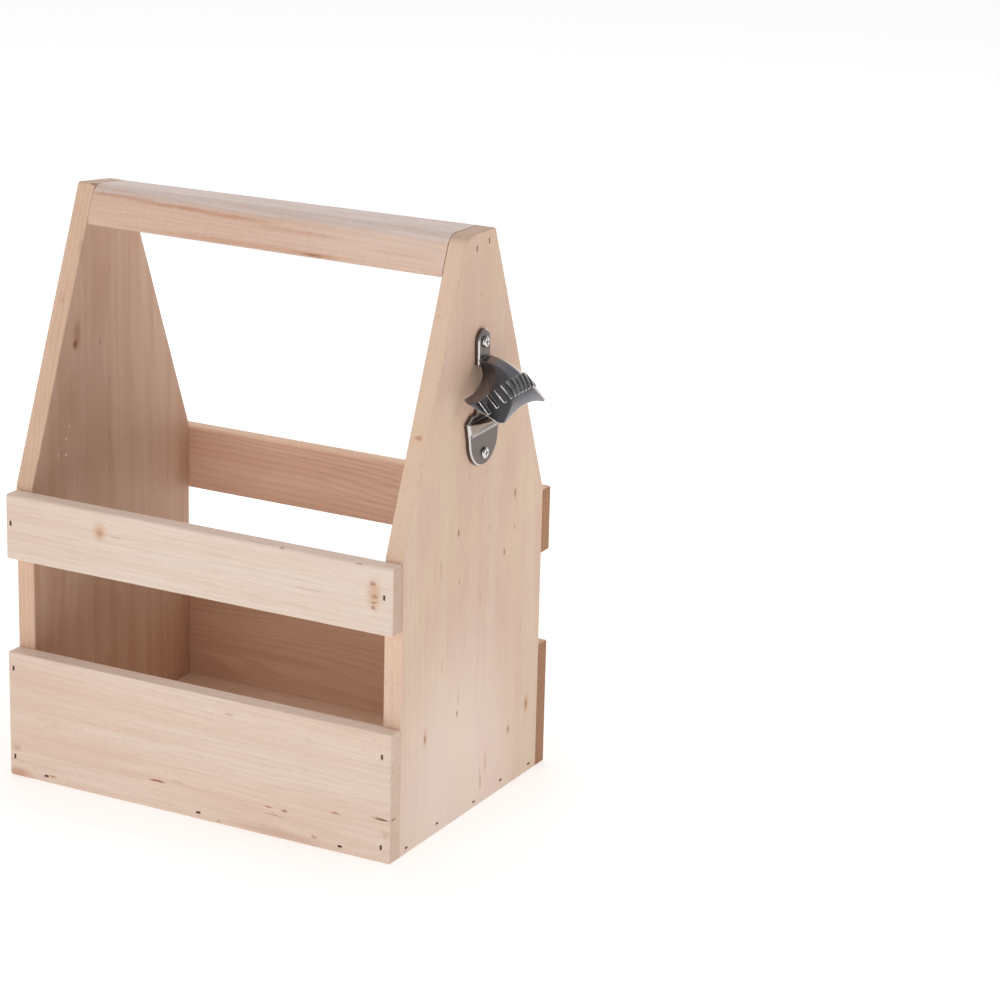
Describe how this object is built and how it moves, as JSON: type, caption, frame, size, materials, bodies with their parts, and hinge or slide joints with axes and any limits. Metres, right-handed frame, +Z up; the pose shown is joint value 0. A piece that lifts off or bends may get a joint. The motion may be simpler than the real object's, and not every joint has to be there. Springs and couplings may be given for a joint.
{
  "type": "bottle caddy",
  "caption": "Open wooden carrier for bottles, nailed from boards and slats, with a bar handle and a cast bottle opener on one end.",
  "frame": {"origin": "centre of the flat underside of the caddy", "axes": "+X along the caddy towards the end with the opener, +Y across it towards the back, +Z up"},
  "size_m": [0.2971, 0.192, 0.3559],
  "materials": {
    "pale_wood": "sanded, unfinished",
    "nail_steel": "bright wire, slightly dull",
    "opener_metal": "cast and nickel plated, satin",
    "screw_steel": "bright plated"
  },
  "bodies": {
    "root": {"left_end_panel": "pale_wood", "right_end_panel": "pale_wood", "front_lower_board": "pale_wood", "back_lower_board": "pale_wood", "front_upper_slat": "pale_wood", "back_upper_slat": "pale_wood", "floor_board": "pale_wood", "handle_bar": "pale_wood", "bottle_opener": "opener_metal", "opener_top_screw": "screw_steel", "opener_bottom_screw": "screw_steel", "front_board_nails": "nail_steel", "back_board_nails": "nail_steel", "front_floor_nails": "nail_steel", "back_floor_nails": "nail_steel", "front_slat_nails": "nail_steel", "back_slat_nails": "nail_steel", "left_panel_floor_nails": "nail_steel", "right_panel_floor_nails": "nail_steel", "left_handle_nails": "nail_steel", "right_handle_nails": "nail_steel"}
  },
  "joints": []
}
